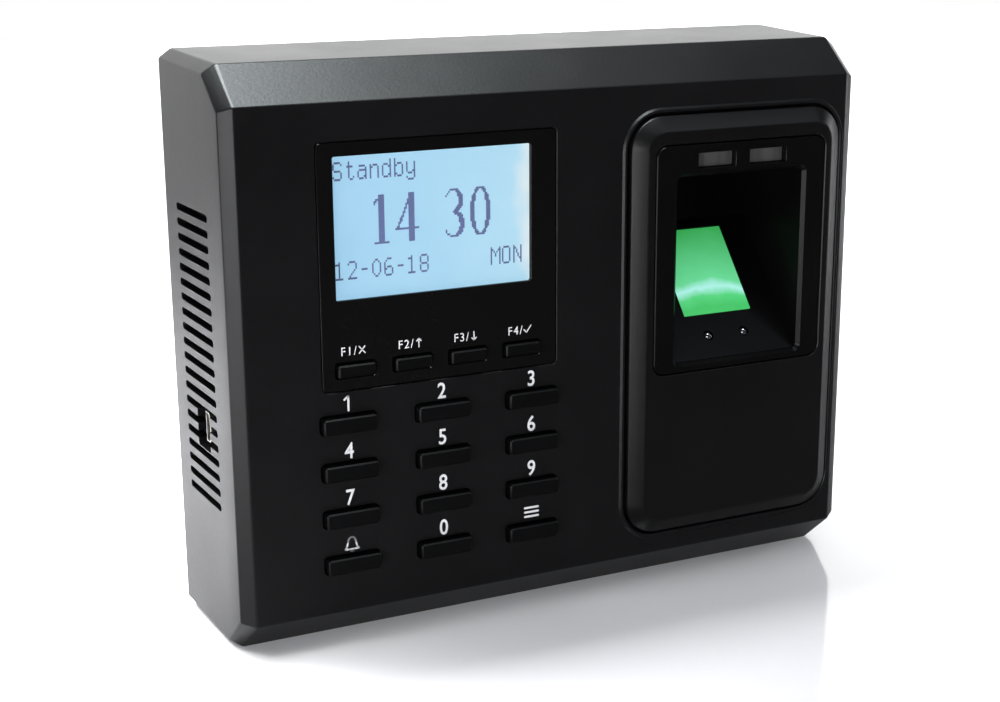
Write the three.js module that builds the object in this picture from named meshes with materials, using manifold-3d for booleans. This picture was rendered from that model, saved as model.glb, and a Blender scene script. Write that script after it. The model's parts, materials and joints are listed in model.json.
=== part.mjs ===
// Fingerprint scanner terminal: a wall-mounted time and access terminal with a number
// keypad, a backlit display and an optical fingerprint reader in a raised bezel.
//
// Millimetres. +X is the viewer's right, +Y runs from the front panel into the body and
// +Z is up. Every part is drawn with y = 0 on the front panel's face and z = 0 on the
// bottom face; the exported group then moves y = 0 to the middle of the whole depth.

import * as THREE from "three";
import { ConvexGeometry } from "three/addons/geometries/ConvexGeometry.js";
import { mergeVertices } from "three/addons/utils/BufferGeometryUtils.js";
import Module from "manifold-3d";

const wasm = await Module();
wasm.setup();

// ---------------------------------------------------------------- driving dimensions

const GAP = 0.3; // clearance between touching pieces
const WALL = 2.5; // thickness of the moulded case walls
const PAST = 1; // how far a cutting tool runs past the face it cuts
const BEYOND = 300; // further out than any part reaches
const EDGE = 0.35; // width of the small flat along the outside edges
const HOLE_EDGE = 0.22; // chamfer round the holes in the front
const ARC_STEPS = 4; // straight steps in a quarter of a rounded corner
const ROUND_STEPS = 16; // sides of a turned piece
const SCREW_STEPS = 12; // sides of a screw

// case
const FRONT_WIDTH = 176.7;
const BACK_WIDTH = 180;
const BODY_DEPTH = 44;
const FRONT_HEIGHT = 144.6;
const BACK_HEIGHT = 146.1;
const TOP_BEVEL = { depth: 11.05, height: 9.0 };
const BOTTOM_BEVEL = { depth: 10.9, height: 9.3 };
const SIDE_CHAMFER = { across: 3.2, along: 2.25 };

// side vents and data port, both in the left wall
const VENT = { count: 20, top: 108.5, pitch: 3.78, height: 1.9, nearY: 12.5, farY: 35.7, corner: 0.9 };
const PORT = { nearY: 18.5, farY: 27.5, lowZ: 49.2, highZ: 60.3, corner: 0.8 };

// display group
const PANEL = { left: -65.9, right: -2.95, low: 66.25, high: 126.2, corner: 1 };
const PANEL_FACE = 0.05; // how far the glossy panel's face lies behind the case's
const PANEL_THICK = 0.95;
const POCKET_DEPTH = 1.3;
const WINDOW = { x: -35.87, z: 105.65, width: 51.9, height: 34.5, corner: 0.5 };
const LCD = { width: 62, height: 43.5, viewWidth: 58.5, viewHeight: 39.4 };

// keys
const KEY = { width: 14.5, height: 4.7, corner: 0.8, proud: 2.2 };
const KEY_COLUMNS = [-59.75, -34.85, -9.95];
const KEY_ROWS = [57.95, 45.95, 33.95, 21.95];
const KEY_NAMES = [
  ["key_1", "key_2", "key_3"],
  ["key_4", "key_5", "key_6"],
  ["key_7", "key_8", "key_9"],
  ["key_bell", "key_0", "key_menu"],
];
const FUNCTION_KEY = { width: 10.3, height: 3.8, corner: 0.5, proud: 1.4 };
const FUNCTION_KEY_NAMES = ["key_cancel", "key_up", "key_down", "key_confirm"];
const FUNCTION_KEY_FIRST_X = -57.4;
const FUNCTION_KEY_PITCH = 14.9;
const FUNCTION_KEY_Z = 71.2;
const KEY_TRAVEL = 1;

// scanner bezel, its finger guide and the reader behind it
const BEZEL = { left: 18.2, right: 82.5, low: 15.5, high: 127.5, corner: 8.8, steps: 9 };
const BEZEL_WALL_FRONT = -1; // where the bezel's straight side wall ends
const BEZEL_FACE = -3.4;
const BEZEL_RUN = 3.9; // width of the bezel's sloping border
const BEZEL_GROOVE = 0.75;
const BEZEL_SKIN = 2.5;
const LIP = { width: 1.3, height: 0.5 };
const GUIDE = { left: 24.4, right: 76.3, low: 59.9, high: 120, corner: 3, steps: 6 };
const BAY = { left: 30.1, right: 70.6, low: 61.4, high: 112.7, corner: 2.1, chamfer: 0.9 };
const BAY_BACK = 25;
const BAY_WALL = 1.6;
const RAMP_ANGLE = THREE.MathUtils.degToRad(50.6);
const RAMP_FOOT = { y: -1.9, z: 62.3 };
const SENSOR = { width: 21, start: 13.2, length: 26 };
const INDICATOR = { spread: 7.85, z: 115.75, width: 11.4, height: 4, recess: 1.8 };

// boards, back cover and wall plate
const BOARD_THICK = 1.6;
const BOARD_CORNER = 1.5;
const LCD_BOARD = { left: -70, right: -2, low: 80.7, high: 130.7, y: 7.7 };
const KEYPAD_BOARD = { left: -73, right: 3, low: 13, high: 79.3, y: 7.7 };
const INDICATOR_BOARD = { left: 33.35, right: 67.35, low: 114.4, high: 121, y: 1.5 };
const MAIN_BOARD = { left: -84, right: 26, low: 14, high: 130, y: 18.2 };
const BACK_COVER = { y: 41, thick: 2.7, rim: 4, rimWidth: 1.5 };
const WALL_PLATE = { halfWidth: 70, low: 18, high: 126, thick: 1.2, proud: 0.6 };
const CABLE_OPENING = { left: -70, right: 20, low: 24, high: 46, corner: 2 };
const COVER_SCREWS = [[-80, 8.4], [80, 8.4], [-80, 136.8], [80, 136.8]];
const BOARD_SCREWS = [[-79, 20], [9.5, 20], [-79, 124], [9.5, 124]];

// ---------------------------------------------------------------- solids

/** A closed three.js geometry as a solid that can be cut and joined. */
function solidFrom(geometry) {
  geometry.deleteAttribute("normal");
  geometry.deleteAttribute("uv");
  const merged = mergeVertices(geometry, 1e-4);
  return new wasm.Manifold(new wasm.Mesh({
    numProp: 3,
    vertProperties: new Float32Array(merged.attributes.position.array),
    triVerts: new Uint32Array(merged.index.array),
  }));
}

/** A solid's surface as a three.js geometry. */
function geometryFrom(solid) {
  const surface = solid.getMesh();
  const geometry = new THREE.BufferGeometry();
  geometry.setAttribute("position", new THREE.BufferAttribute(surface.vertProperties, 3));
  geometry.setIndex(new THREE.BufferAttribute(surface.triVerts, 1));
  geometry.computeVertexNormals();
  return geometry;
}

const join = (first, ...others) => others.reduce((whole, other) => whole.add(other), first);
const cut = (first, ...tools) => tools.reduce((rest, tool) => rest.subtract(tool), first);

/** An upright block between two values on each axis. */
function block(left, right, near, far, low, high) {
  const geometry = new THREE.BoxGeometry(right - left, far - near, high - low);
  geometry.translate((left + right) / 2, (near + far) / 2, (low + high) / 2);
  return solidFrom(geometry);
}

/** A rectangle with round corners, given by its four sides and made larger all round by `grow`. */
function roundedRectangle({ left, right, low, high, corner, steps: own = ARC_STEPS }, grow = 0, steps = own) {
  const radius = Math.max(corner + grow, 0.05);
  const [x0, x1, z0, z1] = [left - grow, right + grow, low - grow, high + grow];
  const centres = [[x1 - radius, z0 + radius], [x1 - radius, z1 - radius],
    [x0 + radius, z1 - radius], [x0 + radius, z0 + radius]];
  const points = [];
  centres.forEach(([cx, cz], quarter) => {
    for (let step = 0; step <= steps; step += 1) {
      const angle = (quarter - 1 + step / steps) * Math.PI / 2;
      points.push(new THREE.Vector2(cx + radius * Math.cos(angle), cz + radius * Math.sin(angle)));
    }
  });
  return new THREE.Shape(points);
}

/** The four sides of a rectangle given by its middle and size. */
function sides(x, z, width, height, corner = 0) {
  return { left: x - width / 2, right: x + width / 2, low: z - height / 2, high: z + height / 2, corner };
}

/** An outline in XZ made into a plate between two depths. */
function plate(shape, near, far) {
  const geometry = new THREE.ExtrudeGeometry(shape, { depth: far - near, bevelEnabled: false });
  geometry.rotateX(Math.PI / 2);
  geometry.translate(0, far, 0);
  return solidFrom(geometry);
}

/** A plate whose front edge slopes inwards by `run` over a depth of `rise`. */
function slopedPlate(shape, near, far, run, rise) {
  const geometry = new THREE.ExtrudeGeometry(shape, {
    depth: far - near - rise,
    bevelEnabled: true,
    bevelSegments: 1,
    bevelThickness: rise,
    bevelSize: run,
    bevelOffset: -run,
  });
  geometry.rotateX(Math.PI / 2);
  geometry.translate(0, far, 0);
  const bounds = block(-BEYOND, BEYOND, near - PAST, far, -BEYOND, BEYOND);
  return solidFrom(geometry).intersect(bounds);
}

/** A convex solid from one outline repeated at [inset, y] points, for edges that slope or are cut. */
function steppedPlate(outline, profile, steps = outline.steps) {
  const points = profile.flatMap(([inset, y]) => roundedRectangle(outline, -inset, steps)
    .getPoints().map((point) => new THREE.Vector3(point.x, y, point.y)));
  return solidFrom(new ConvexGeometry(points));
}

/** A cutter that chamfers the edge of a hole on the face at `face`. */
function edgeCutter(outline, size, face, steps = outline.steps) {
  return steppedPlate(outline, [[-1.5 * size, face - size / 2], [0, face + size]], steps);
}

/** The points of an open path with each inner corner cut off at `size` along both its sides. */
function cutCorners(path, size) {
  const towards = ([fromU, fromV], [toU, toV]) => {
    const share = size / Math.hypot(toU - fromU, toV - fromV);
    return [fromU + (toU - fromU) * share, fromV + (toV - fromV) * share];
  };
  return path.flatMap((point, index) => {
    const atEnd = index === 0 || index === path.length - 1;
    return atEnd ? [point] : [towards(point, path[index - 1]), towards(point, path[index + 1])];
  });
}

/** An outline made larger or smaller all round. */
function grown(outline, grow) {
  const { left, right, low, high, corner } = outline;
  return { ...outline, left: left - grow, right: right + grow, low: low - grow, high: high + grow,
    corner: corner + grow };
}

/** An outline in YZ made into a bar between two values of x. */
function bar(shape, left, right) {
  const geometry = new THREE.ExtrudeGeometry(shape, { depth: right - left, bevelEnabled: false });
  const toX = new THREE.Matrix4().makeBasis(
    new THREE.Vector3(0, 1, 0), new THREE.Vector3(0, 0, 1), new THREE.Vector3(1, 0, 0));
  geometry.applyMatrix4(toX);
  geometry.translate(left, 0, 0);
  return solidFrom(geometry);
}

/** A piece turned about an axis along Y, from [radius, y] points that start and end on the axis. */
function turnedAlongY(profile, x, z, steps = ROUND_STEPS) {
  const points = profile.map(([radius, y]) => new THREE.Vector2(radius, y));
  const geometry = new THREE.LatheGeometry(points, steps);
  geometry.translate(x, 0, z);
  return solidFrom(geometry);
}

/** A round rod along Y. */
function rodAlongY(x, z, radius, near, far) {
  return turnedAlongY([[0, near], [radius, near], [radius, far], [0, far]], x, z);
}

/** A round rod along Z. */
function rodAlongZ(x, y, radius, low, high) {
  const geometry = new THREE.CylinderGeometry(radius, radius, high - low, ROUND_STEPS);
  geometry.rotateX(Math.PI / 2);
  geometry.translate(x, y, (low + high) / 2);
  return solidFrom(geometry);
}

// ---------------------------------------------------------------- materials

function finish(colour, roughness, metalness = 0) {
  return new THREE.MeshStandardMaterial({ color: colour, roughness, metalness });
}

const FINISH = {
  case: finish(0x2c2c2e, 0.5),
  backCover: finish(0x242426, 0.6),
  glossBlack: finish(0x0a0a0b, 0.12),
  window: finish(0xdfeef7, 0.05),
  lcd: finish(0xa9dcf6, 0.15),
  diffuser: finish(0xe9f1f4, 0.4),
  key: finish(0x111112, 0.35),
  rubber: finish(0x2a2a2c, 0.8),
  board: finish(0x1d5a35, 0.45),
  bezel: finish(0x303337, 0.4),
  prism: finish(0x49d66a, 0.05),
  lightPipe: finish(0x8b8986, 0.35),
  housing: finish(0x151516, 0.6),
  chip: finish(0x18181a, 0.5),
  steel: finish(0xb9bcbf, 0.35, 1),
  socket: finish(0xc8cacc, 0.3, 1),
  relay: finish(0x2355a4, 0.4),
  terminal: finish(0x2c8a47, 0.5),
  ribbon: finish(0xd8d2bd, 0.5),
};

const object = new THREE.Group();

/** Adds one sub-part under its own name, in the whole object or in a turned group. */
function addPart(name, solid, material, group = object) {
  const mesh = new THREE.Mesh(geometryFrom(solid), material);
  mesh.name = name;
  group.add(mesh);
}

// ---------------------------------------------------------------- case

/** Half the case's outside width at a depth: the sides widen towards the wall. */
function halfWidth(y) {
  return (FRONT_WIDTH + (BACK_WIDTH - FRONT_WIDTH) * y / BODY_DEPTH) / 2;
}

/** The height of the case's top face at a depth: it rises slightly towards the wall. */
function caseTop(y) {
  return FRONT_HEIGHT + (BACK_HEIGHT - FRONT_HEIGHT) * (y - TOP_BEVEL.depth) / (BODY_DEPTH - TOP_BEVEL.depth);
}

/** The case's side outline moved inwards, as [y, z] points from back bottom to back top. */
function sideOutline(inset, backY = BODY_DEPTH) {
  const corners = [
    [BODY_DEPTH, 0],
    [BOTTOM_BEVEL.depth, 0],
    [0, BOTTOM_BEVEL.height],
    [0, FRONT_HEIGHT - TOP_BEVEL.height],
    [TOP_BEVEL.depth, FRONT_HEIGHT],
    [BODY_DEPTH, BACK_HEIGHT],
  ];
  const edges = corners.slice(1).map(([y, z], index) => {
    const [startY, startZ] = corners[index];
    const length = Math.hypot(y - startY, z - startZ);
    const [alongY, alongZ] = [(y - startY) / length, (z - startZ) / length];
    return { y: startY + alongZ * inset, z: startZ - alongY * inset, alongY, alongZ };
  });
  const atDepth = (edge, y) => [y, edge.z + (y - edge.y) * edge.alongZ / edge.alongY];
  const meet = (one, two) => {
    const cross = one.alongY * two.alongZ - one.alongZ * two.alongY;
    const reach = ((two.y - one.y) * two.alongZ - (two.z - one.z) * two.alongY) / cross;
    return [one.y + one.alongY * reach, one.z + one.alongZ * reach];
  };
  const middle = edges.slice(1).map((edge, index) => meet(edges[index], edge));
  return [atDepth(edges[0], backY), ...middle, atDepth(edges[edges.length - 1], backY)];
}

/** The solid inside the side outlines, each of which narrows by `narrow` at the sides. */
function caseHull(layers, edge) {
  const points = layers.flatMap(({ inset, narrow, backY }) => cutCorners(sideOutline(inset, backY), edge)
    .flatMap(([y, z]) => [-1, 1].map((side) => new THREE.Vector3(side * (halfWidth(y) - narrow), y, z))));
  return solidFrom(new ConvexGeometry(points));
}

/** Every key's name, middle and size, which its hole, cap and pad share. */
function keyPlaces() {
  const digits = KEY_NAMES.flatMap((row, rowIndex) => row.map((name, column) => (
    { name, x: KEY_COLUMNS[column], z: KEY_ROWS[rowIndex], size: KEY })));
  const functions = FUNCTION_KEY_NAMES.map((name, index) => (
    { name, x: FUNCTION_KEY_FIRST_X + index * FUNCTION_KEY_PITCH, z: FUNCTION_KEY_Z, size: FUNCTION_KEY }));
  return [...digits, ...functions];
}

/** The hole for a key through the case or the panel, with a chamfer on its front edge. */
function keyHole({ x, z, size }, face = 0) {
  const outline = sides(x, z, size.width, size.height, size.corner);
  return join(
    plate(roundedRectangle(outline, 0, 2), -PAST, WALL + PAST), edgeCutter(outline, HOLE_EDGE, face, 2));
}

function ventSlots() {
  return Array.from({ length: VENT.count }, (_, index) => {
    const z = VENT.top - index * VENT.pitch;
    const outline = {
      left: VENT.nearY, right: VENT.farY,
      low: z - VENT.height / 2, high: z + VENT.height / 2, corner: VENT.corner,
    };
    return bar(roundedRectangle(outline, 0, 3), -BACK_WIDTH / 2 - PAST, -BACK_WIDTH / 2 + 2 * WALL);
  });
}

function portHole() {
  const outline = roundedRectangle(
    { left: PORT.nearY, right: PORT.farY, low: PORT.lowZ, high: PORT.highZ, corner: PORT.corner }, 0, 2);
  return bar(outline, -BACK_WIDTH / 2 - PAST, -BACK_WIDTH / 2 + 2 * WALL);
}

const BOSS = { radius: 3.2, hole: 1.6, near: 6.5, depth: 14 };
const POST = { radius: 2.6, hole: 1.5, depth: 8 };
const LOCK_SCREW = {
  y: 39, hole: 1.6, headHole: 3.2, headDepth: 1.5, headLow: 0.4, headRadius: 2.8, shankRadius: 1.3, end: 7.5,
};

function frontCover() {
  const sideEdge = cutCorners([
    [0, SIDE_CHAMFER.across + 2 * EDGE], [0, SIDE_CHAMFER.across], [SIDE_CHAMFER.along, 0],
    [SIDE_CHAMFER.along + 2 * EDGE, 0]], EDGE);
  const hull = caseHull(sideEdge.map(([inset, narrow]) => ({ inset, narrow })), EDGE);
  const cavity = caseHull([{ inset: WALL, narrow: WALL, backY: BODY_DEPTH + PAST }], EDGE);
  const bosses = COVER_SCREWS.map(([x, z]) => rodAlongY(x, z, BOSS.radius, BOSS.near, BACK_COVER.y - GAP));
  const posts = BOARD_SCREWS.map(([x, z]) => rodAlongY(x, z, POST.radius, WALL / 2, MAIN_BOARD.y - GAP));
  const bossHoles = COVER_SCREWS.map(([x, z]) => rodAlongY(
    x, z, BOSS.hole, BACK_COVER.y - BOSS.depth, BACK_COVER.y));
  const postHoles = BOARD_SCREWS.map(([x, z]) => (
    rodAlongY(x, z, POST.hole, MAIN_BOARD.y - POST.depth, MAIN_BOARD.y)));
  const lip = slopedPlate(
    roundedRectangle(BEZEL, BEZEL_GROOVE + LIP.width), -LIP.height, WALL / 2, LIP.height, LIP.height);
  const bezelHole = join(
    plate(roundedRectangle(BEZEL, BEZEL_GROOVE), -LIP.height - PAST, WALL + PAST),
    edgeCutter(grown(BEZEL, BEZEL_GROOVE), HOLE_EDGE, -LIP.height));
  const pocket = join(
    plate(roundedRectangle(PANEL, GAP), -PAST, POCKET_DEPTH), edgeCutter(grown(PANEL, GAP), HOLE_EDGE / 2, 0));
  const view = sides(WINDOW.x, WINDOW.z, LCD.viewWidth, LCD.viewHeight, 1);
  const viewHole = plate(roundedRectangle(view), 0, WALL + PAST);
  const lockHole = join(
    rodAlongZ(0, LOCK_SCREW.y, LOCK_SCREW.hole, -PAST, WALL + PAST),
    rodAlongZ(0, LOCK_SCREW.y, LOCK_SCREW.headHole, -PAST, LOCK_SCREW.headDepth));
  const shell = join(cut(hull, cavity), lip, ...bosses, ...posts);
  return cut(shell, bezelHole, pocket, viewHole, ...keyPlaces().map((place) => keyHole(place)),
    ...ventSlots(), portHole(), ...bossHoles, ...postHoles, lockHole);
}

const COVER_COUNTERBORE = 1.2; // how deep the cover screws' heads sit in the back cover
const SLOT_ROOM = 0.6; // room around the wall plate's hooks and tab
const WALL_SLOT = { x: 55, heights: [62, 96], radius: 2.2, halfLength: 6 };
const HOOK = { spread: 40, halfWidth: 10, low: 106, thick: 1.2, reach: 4.7, rise: 5 };
const LOCK_TAB = { halfWidth: 9, low: 4.2, near: 34 };

/** The back cover's outside, kept clear of the case walls all round. */
function backCoverOutline(inset) {
  const half = halfWidth(BACK_COVER.y) - WALL - GAP - inset;
  const low = WALL + GAP + inset;
  const high = caseTop(BACK_COVER.y - BACK_COVER.rim) - WALL - GAP - inset;
  return roundedRectangle({ left: -half, right: half, low, high, corner: 1 }, 0, 2);
}

function backCover() {
  const { y, thick, rim, rimWidth } = BACK_COVER;
  const sheet = plate(backCoverOutline(0), y, y + thick);
  const rimRing = cut(
    plate(backCoverOutline(0), y - rim, y + thick / 2), plate(backCoverOutline(rimWidth), y - rim - PAST, y));
  const behind = y + thick + PAST;
  const recessNear = BODY_DEPTH - WALL_PLATE.thick + WALL_PLATE.proud - GAP;
  const plateHalf = WALL_PLATE.halfWidth + SLOT_ROOM;
  const tabHalf = LOCK_TAB.halfWidth + SLOT_ROOM;
  const plateRecess = block(
    -plateHalf, plateHalf, recessNear, behind, WALL_PLATE.low - SLOT_ROOM, WALL_PLATE.high + SLOT_ROOM);
  const tabRecess = block(-tabHalf, tabHalf, recessNear, behind, 0, WALL_PLATE.low);
  const tabNotch = block(
    -tabHalf, tabHalf, y - rim - PAST, behind, 0, LOCK_TAB.low + WALL_PLATE.thick + SLOT_ROOM);
  const hookHalf = HOOK.halfWidth + SLOT_ROOM;
  const hookSlots = [-1, 1].map((side) => block(
    side * HOOK.spread - hookHalf, side * HOOK.spread + hookHalf, y - PAST, behind,
    HOOK.low - SLOT_ROOM, HOOK.low + HOOK.thick + HOOK.rise + SLOT_ROOM));
  const screwHoles = COVER_SCREWS.flatMap(([x, z]) => [
    rodAlongY(x, z, BOSS.hole, y - PAST, behind),
    rodAlongY(x, z, BOSS.radius, y + thick - COVER_COUNTERBORE, behind),
  ]);
  const cableHole = plate(
    roundedRectangle(CABLE_OPENING, 0, 2), y - PAST, behind);
  return cut(join(sheet, rimRing), plateRecess, tabRecess, tabNotch, ...hookSlots, ...screwHoles, cableHole);
}

/** The steel plate that is screwed to the wall first: hooks at the top, a locking tab below. */
function wallPlate() {
  const far = BODY_DEPTH + WALL_PLATE.proud;
  const near = far - WALL_PLATE.thick;
  const { halfWidth: half, low, high } = WALL_PLATE;
  const sheet = plate(roundedRectangle({ left: -half, right: half, low, high, corner: 4 }, 0, 3), near, far);
  const hooks = [-1, 1].map((side) => {
    const [left, right] = [side * HOOK.spread - HOOK.halfWidth, side * HOOK.spread + HOOK.halfWidth];
    const tip = near - HOOK.reach;
    return join(
      block(left, right, tip, near + 0.4, HOOK.low, HOOK.low + HOOK.thick),
      block(left, right, tip, tip + HOOK.thick, HOOK.low, HOOK.low + HOOK.thick + HOOK.rise));
  });
  const tab = join(
    block(-LOCK_TAB.halfWidth, LOCK_TAB.halfWidth, near, far, LOCK_TAB.low, low + PAST),
    block(-LOCK_TAB.halfWidth, LOCK_TAB.halfWidth, LOCK_TAB.near, far, LOCK_TAB.low,
      LOCK_TAB.low + WALL_PLATE.thick));
  const hookWindows = [-1, 1].map((side) => block(
    side * HOOK.spread - HOOK.halfWidth, side * HOOK.spread + HOOK.halfWidth, near - PAST, far + PAST,
    HOOK.low + HOOK.thick, HOOK.low + HOOK.thick + HOOK.rise));
  const { radius, halfLength } = WALL_SLOT;
  const wallSlots = WALL_SLOT.heights.flatMap((z) => [-WALL_SLOT.x, WALL_SLOT.x].map((x) => join(
    block(x - halfLength, x + halfLength, near - PAST, far + PAST, z - radius, z + radius),
    rodAlongY(x - halfLength, z, radius, near - PAST, far + PAST),
    rodAlongY(x + halfLength, z, radius, near - PAST, far + PAST))));
  const cableHole = plate(
    roundedRectangle(CABLE_OPENING, 0, 2), near - PAST, far + PAST);
  const lockHole = rodAlongZ(0, LOCK_SCREW.y, LOCK_SCREW.hole, 0, LOCK_SCREW.end + PAST);
  return cut(join(sheet, ...hooks, tab), ...hookWindows, ...wallSlots, cableHole, lockHole);
}

const COVER_SCREW = { headRadius: 2.8, headHeight: 1.1, shankRadius: 1.25, length: 12 };
const BOARD_SCREW = { headRadius: 2.5, headHeight: 1.5, shankRadius: 1.2, length: 8 };
const SCREW_SEAT_GAP = 0.05;
const RECESS = { length: 2.9, width: 0.8, depth: 0.7, lockDepth: 0.45 };

/** A pan-head screw along Y, with its head and its cross recess towards the wall. */
function screwAlongY(x, z, { headRadius, headHeight, shankRadius, length }, seat) {
  const [far, halfLength, halfWidth] = [seat + headHeight, RECESS.length / 2, RECESS.width / 2];
  const arms = [[halfLength, halfWidth], [halfWidth, halfLength]].map(([across, up]) => (
    block(x - across, x + across, far - RECESS.depth, far + PAST, z - up, z + up)));
  const solid = turnedAlongY([
    [0, seat - length],
    [shankRadius * 0.6, seat - length],
    [shankRadius, seat - length + 1],
    [shankRadius, seat],
    [headRadius, seat],
    [headRadius, seat + headHeight * 0.55],
    [headRadius * 0.65, far],
    [0, far],
  ], x, z, SCREW_STEPS);
  return cut(solid, ...arms);
}

/** The screw from below that locks the case to the wall plate's tab. */
function lockScrew() {
  const { y, headLow, headRadius, shankRadius, end } = LOCK_SCREW;
  const headHigh = LOCK_SCREW.headDepth - GAP;
  const head = rodAlongZ(0, y, headRadius, headLow, headHigh);
  const shank = rodAlongZ(0, y, shankRadius, (headLow + headHigh) / 2, end);
  const [halfLength, halfWidth] = [RECESS.length / 2, RECESS.width / 2];
  const arms = [[halfLength, halfWidth], [halfWidth, halfLength]].map(([across, deep]) => (
    block(-across, across, y - deep, y + deep, headLow - PAST, headLow + RECESS.lockDepth)));
  return cut(join(head, shank), ...arms);
}

// ---------------------------------------------------------------- display and keys

function displaySurround() {
  const far = PANEL_FACE + PANEL_THICK;
  const sheet = steppedPlate(PANEL, cutCorners([[0, far], [0, PANEL_FACE], [1, PANEL_FACE]], HOLE_EDGE / 2));
  const view = sides(WINDOW.x, WINDOW.z, WINDOW.width, WINDOW.height, WINDOW.corner);
  const viewHole = join(
    plate(roundedRectangle(view), -PAST, POCKET_DEPTH + PAST), edgeCutter(view, HOLE_EDGE / 2, PANEL_FACE));
  const holes = keyPlaces().filter(({ size }) => size === FUNCTION_KEY)
    .map((place) => keyHole(place, PANEL_FACE));
  return cut(sheet, viewHole, ...holes);
}

function displayWindow() {
  const outline = sides(WINDOW.x, WINDOW.z, WINDOW.width, WINDOW.height, WINDOW.corner);
  return plate(roundedRectangle(outline, -GAP), PANEL_FACE, PANEL_FACE + PANEL_THICK);
}

const LCD_LAYERS = { frame: 2.8, glass: 3.7, light: 5.8, end: 7.4 };
const LCD_FRAME_WALL = 1.1;

function lcdSlab(near, far, width, height, corner = 0.6) {
  return plate(roundedRectangle(sides(WINDOW.x, WINDOW.z, width, height, corner), 0, 2), near, far);
}

function lcdFrame() {
  const outside = lcdSlab(LCD_LAYERS.frame, LCD_LAYERS.end,
    LCD.width + 2 * LCD_FRAME_WALL, LCD.height + 2 * LCD_FRAME_WALL);
  const inside = lcdSlab(LCD_LAYERS.glass - GAP, LCD_LAYERS.end + PAST,
    LCD.width + 2 * GAP, LCD.height + 2 * GAP);
  const view = lcdSlab(0, LCD_LAYERS.end, LCD.viewWidth, LCD.viewHeight);
  return cut(outside, inside, view);
}

/** A flat circuit board with its corners rounded. */
function board({ y, ...outline }) {
  return plate(roundedRectangle({ ...outline, corner: BOARD_CORNER }, 0, 2), y, y + BOARD_THICK);
}

const KEY_ROOM = 0.35; // clearance round a key's cap, and the width of the bevel on its edge
const KEY_FLANGE = { near: WALL + GAP, thick: 0.9, past: 0.75 };
const KEY_STEM = { width: 4, height: 2.4, length: 1.8 };
const KEYPAD_MAT = { left: -71, right: 1, low: 16, high: 78.5, corner: 2, near: 6.4, far: 7.4 };
const PAD_INSET = { across: 1.5, up: 0.5 };

/** A block centred on a key's middle. */
function keyBlock({ x, z }, width, height, near, far) {
  return block(x - width / 2, x + width / 2, near, far, z - height / 2, z + height / 2);
}

/** A key: a cap that stands proud of its hole, a flange that keeps it in and a short stem. */
function keySolid(place) {
  const { x, z, size } = place;
  const { near, thick, past } = KEY_FLANGE;
  const inFlange = near + thick / 2;
  const cap = sides(x, z, size.width - 2 * KEY_ROOM, size.height - 2 * KEY_ROOM, size.corner - KEY_ROOM / 2);
  return join(
    slopedPlate(roundedRectangle(cap, 0, 2), -size.proud, inFlange, KEY_ROOM, KEY_ROOM),
    keyBlock(place, size.width + 2 * past, size.height + 2 * past, near, near + thick),
    keyBlock(place, KEY_STEM.width, KEY_STEM.height, inFlange, near + KEY_STEM.length));
}

/** The silicone sheet under the keys, with one pad for each key, drawn as it is when pressed. */
function keypadMat() {
  const { near, far } = KEYPAD_MAT;
  const padNear = KEY_FLANGE.near + KEY_STEM.length + KEY_TRAVEL + GAP;
  const sheet = plate(roundedRectangle(KEYPAD_MAT, 0, 2), near, far);
  const pads = keyPlaces().map((place) => keyBlock(place, place.size.width - 2 * PAD_INSET.across,
    place.size.height - 2 * PAD_INSET.up, padNear, (near + far) / 2));
  return join(sheet, ...pads);
}

// ---------------------------------------------------------------- fingerprint reader

const BEZEL_FLANGE = { thick: 1.4, past: 1.4 };
const BEZEL_HOLLOW_INSET = 3.2;

/** The raised frame round the reader, clipped in from behind by its flange. */
function scannerBezel() {
  const flangeNear = WALL + GAP;
  const flangeFar = flangeNear + BEZEL_FLANGE.thick;
  const front = steppedPlate(BEZEL, cutCorners([
    [0, flangeFar], [0, BEZEL_WALL_FRONT], [BEZEL_RUN, BEZEL_FACE], [BEZEL_RUN + 1, BEZEL_FACE]], EDGE));
  const flange = plate(roundedRectangle(BEZEL, BEZEL_GROOVE + BEZEL_FLANGE.past), flangeNear, flangeFar);
  const hollow = plate(roundedRectangle(BEZEL, -BEZEL_HOLLOW_INSET), BEZEL_FACE + BEZEL_SKIN, flangeFar + PAST);
  const guideHole = join(
    plate(roundedRectangle(GUIDE, GAP), BEZEL_FACE - PAST, 0),
    edgeCutter(grown(GUIDE, GAP), HOLE_EDGE, BEZEL_FACE));
  return cut(join(front, flange), hollow, guideHole);
}

/** Everything in front of the sensor ramp and the bay's back wall, moved by `out` into the wall. */
function bayRegion(out) {
  const reach = 12; // how far the region runs past the ramp's foot
  const slope = Math.tan(RAMP_ANGLE);
  const foot = RAMP_FOOT.y + out * Math.sin(RAMP_ANGLE);
  const footZ = RAMP_FOOT.z - out * Math.cos(RAMP_ANGLE);
  const back = BAY_BACK + out;
  return bar(new THREE.Shape([
    new THREE.Vector2(foot - reach, footZ - reach * slope),
    new THREE.Vector2(back, footZ + (back - foot) * slope),
    new THREE.Vector2(back, BACK_HEIGHT),
    new THREE.Vector2(foot - reach, BACK_HEIGHT),
  ]), 0, BACK_WIDTH / 2);
}

const GUIDE_FLANGE = { past: 1.3, far: 0.8 };
const EYE_HOLE = 1.5;

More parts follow.
